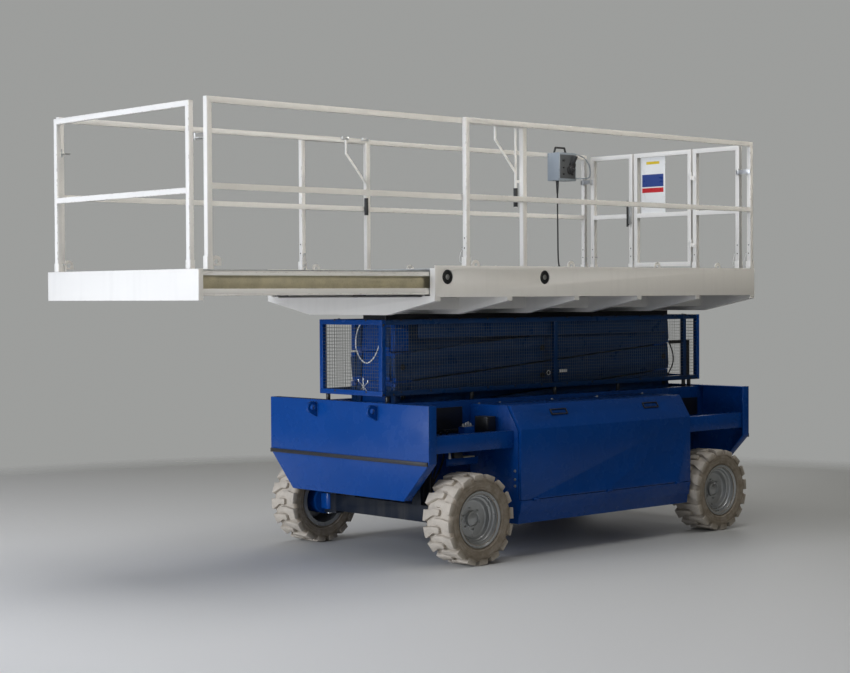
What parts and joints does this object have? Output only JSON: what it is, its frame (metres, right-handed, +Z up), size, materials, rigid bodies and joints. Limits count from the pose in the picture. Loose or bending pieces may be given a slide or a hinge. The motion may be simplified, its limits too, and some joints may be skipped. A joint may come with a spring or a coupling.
{
  "type": "scissor lift",
  "caption": "Self-propelled electric scissor lift with three stages of arms, railed platform, roll-out extension, gate and cream tyres, folded down",
  "frame": {"origin": "bottom centre of the bounding box, on the floor under the middle of the machine", "axes": "+X towards the roll-out extension, +Y to the left side, +Z up"},
  "size_m": [5.9669, 2.124, 3.402],
  "materials": {
    "blue_paint": "gloss",
    "white_paint": "gloss",
    "tyre_cream": "matte",
    "rim_silver": "satin",
    "black_steel": "satin",
    "black_plastic": "matte",
    "chrome_rod": "polished",
    "deck_plate": "satin",
    "board_white": "gloss",
    "box_grey": "satin",
    "cable_black": "matte"
  },
  "bodies": {
    "chassis": {"chassis_frame": "blue_paint", "front_bumper": "blue_paint", "rear_bumper": "blue_paint", "lifting_lugs": "blue_paint", "bumper_strips": "black_plastic", "front_axle": "blue_paint", "rear_axle": "blue_paint", "side_box_left": "blue_paint", "side_box_right": "blue_paint", "batteries": "black_plastic", "cage_left": "blue_paint", "cage_right": "blue_paint", "cage_ends": "blue_paint", "cage_feet": "black_steel"},
    "knuckle_left": {"knuckle_left": "blue_paint"},
    "knuckle_right": {"knuckle_right": "blue_paint"},
    "tie_rod": {"tie_rod": "black_steel"},
    "wheel_front_left": {"rim_front_left": "rim_silver", "tyre_front_left": "tyre_cream"},
    "wheel_front_right": {"rim_front_right": "rim_silver", "tyre_front_right": "tyre_cream"},
    "wheel_rear_left": {"rim_rear_left": "rim_silver", "tyre_rear_left": "tyre_cream"},
    "wheel_rear_right": {"rim_rear_right": "rim_silver", "tyre_rear_right": "tyre_cream"},
    "door_left": {"side_door_left": "blue_paint"},
    "door_right": {"side_door_right": "blue_paint"},
    "outer_1": {"outer_arms_1": "blue_paint"},
    "inner_1": {"inner_arms_1": "blue_paint"},
    "outer_2": {"outer_arms_2": "blue_paint"},
    "inner_2": {"inner_arms_2": "blue_paint"},
    "outer_3": {"outer_arms_3": "blue_paint"},
    "inner_3": {"inner_arms_3": "blue_paint"},
    "lift_barrel": {"lift_barrel": "blue_paint"},
    "lift_rod": {"lift_rod": "chrome_rod"},
    "platform": {"deck_frame": "white_paint", "deck_floor": "deck_plate", "deck_guides": "black_steel", "deck_runners": "black_plastic", "deck_rails": "white_paint", "rear_frames": "white_paint", "deck_latches": "white_paint", "control_box": "box_grey", "control_fittings": "black_plastic", "control_cable": "cable_black"},
    "gate": {"gate": "white_paint", "gate_board": "board_white"},
    "extension": {"extension_frame": "white_paint", "extension_floor": "deck_plate", "extension_rails": "white_paint", "end_rail": "white_paint", "extension_hooks": "white_paint", "handle_grips": "black_plastic"}
  },
  "joints": [
    {"name": "lift", "type": "hinge", "parent": "chassis", "child": "outer_1", "pos_m": [0.5835, 0, 1.008], "axis": [0, 1, 0], "range_deg": [0, 40.79]},
    {"name": "inner_1_pivot", "type": "hinge", "parent": "outer_1", "child": "inner_1", "pos_m": [-0.97877, 0, 1.123], "axis": [0, 1, 0], "range_deg": [-81.58, 0]},
    {"name": "inner_2_pivot", "type": "hinge", "parent": "outer_1", "child": "inner_2", "pos_m": [-2.54105, 0, 1.238], "axis": [0, 1, 0], "range_deg": [-81.58, 0]},
    {"name": "outer_2_pivot", "type": "hinge", "parent": "inner_2", "child": "outer_2", "pos_m": [-0.97877, 0, 1.353], "axis": [0, 1, 0], "range_deg": [0, 81.58]},
    {"name": "outer_3_pivot", "type": "hinge", "parent": "inner_2", "child": "outer_3", "pos_m": [0.5835, 0, 1.468], "axis": [0, 1, 0], "range_deg": [0, 81.58]},
    {"name": "inner_3_pivot", "type": "hinge", "parent": "outer_3", "child": "inner_3", "pos_m": [-0.97877, 0, 1.583], "axis": [0, 1, 0], "range_deg": [-81.58, 0]},
    {"name": "platform_pivot", "type": "hinge", "parent": "inner_3", "child": "platform", "pos_m": [0.5835, 0, 1.698], "axis": [0, 1, 0], "range_deg": [0, 40.79]},
    {"name": "barrel_pivot", "type": "hinge", "parent": "inner_1", "child": "lift_barrel", "pos_m": [-2.07236, 0, 1.0425], "axis": [0, 1, 0], "range_deg": [-17.84, 0]},
    {"name": "rod_slide", "type": "slide", "parent": "lift_barrel", "child": "lift_rod", "axis": [0.9907, 0, 0.136], "range_m": [0, 1.8258]},
    {"name": "steer_left", "type": "hinge", "parent": "chassis", "child": "knuckle_left", "pos_m": [0.5105, 0.72, 0.345], "axis": [0, 0, 1], "range_deg": [-27, 27]},
    {"name": "steer_right", "type": "hinge", "parent": "chassis", "child": "knuckle_right", "pos_m": [0.5105, -0.72, 0.345], "axis": [0, 0, 1], "range_deg": [-27.01, 27.01]},
    {"name": "tie_rod_pin", "type": "hinge", "parent": "knuckle_left", "child": "tie_rod", "pos_m": [0.3605, 0.72, 0.3234], "axis": [0, 0, 1], "range_deg": [-27.01, 27.01]},
    {"name": "wheel_front_left", "type": "hinge", "parent": "knuckle_left", "child": "wheel_front_left", "pos_m": [0.5105, 0.9195, 0.345], "axis": [0, 1, 0], "continuous": true},
    {"name": "wheel_rear_left", "type": "hinge", "parent": "chassis", "child": "wheel_rear_left", "pos_m": [-2.3635, 0.9195, 0.345], "axis": [0, 1, 0], "continuous": true},
    {"name": "wheel_front_right", "type": "hinge", "parent": "knuckle_right", "child": "wheel_front_right", "pos_m": [0.5105, -0.9195, 0.345], "axis": [0, 1, 0], "continuous": true},
    {"name": "wheel_rear_right", "type": "hinge", "parent": "chassis", "child": "wheel_rear_right", "pos_m": [-2.3635, -0.9195, 0.345], "axis": [0, 1, 0], "continuous": true},
    {"name": "door_left", "type": "hinge", "parent": "chassis", "child": "door_left", "pos_m": [-0.984, 1.011, 0.4445], "axis": [-1, 0, 0], "range_deg": [0, 110]},
    {"name": "door_right", "type": "hinge", "parent": "chassis", "child": "door_right", "pos_m": [-0.984, -1.011, 0.4445], "axis": [1, 0, 0], "range_deg": [0, 110]},
    {"name": "gate_hinge", "type": "hinge", "parent": "platform", "child": "gate", "pos_m": [-2.8345, 0.347, 2.78], "axis": [0, 0, 1], "range_deg": [0, 90]},
    {"name": "extension_slide", "type": "slide", "parent": "platform", "child": "extension", "axis": [-1, 0, 0], "range_m": [0, 1.9]}
  ],
  "couplings": [
    {"joint": "inner_1_pivot", "follows": "lift", "ratio": -2},
    {"joint": "inner_2_pivot", "follows": "lift", "ratio": -2},
    {"joint": "outer_2_pivot", "follows": "lift", "ratio": 2},
    {"joint": "outer_3_pivot", "follows": "lift", "ratio": 2},
    {"joint": "inner_3_pivot", "follows": "lift", "ratio": -2},
    {"joint": "platform_pivot", "follows": "lift", "ratio": 1},
    {"joint": "barrel_pivot", "follows": "lift", "ratio": -0.43718},
    {"joint": "rod_slide", "follows": "lift", "m_per_rad": 2.5632},
    {"joint": "steer_right", "follows": "steer_left", "ratio": 1},
    {"joint": "tie_rod_pin", "follows": "steer_left", "ratio": -1}
  ]
}
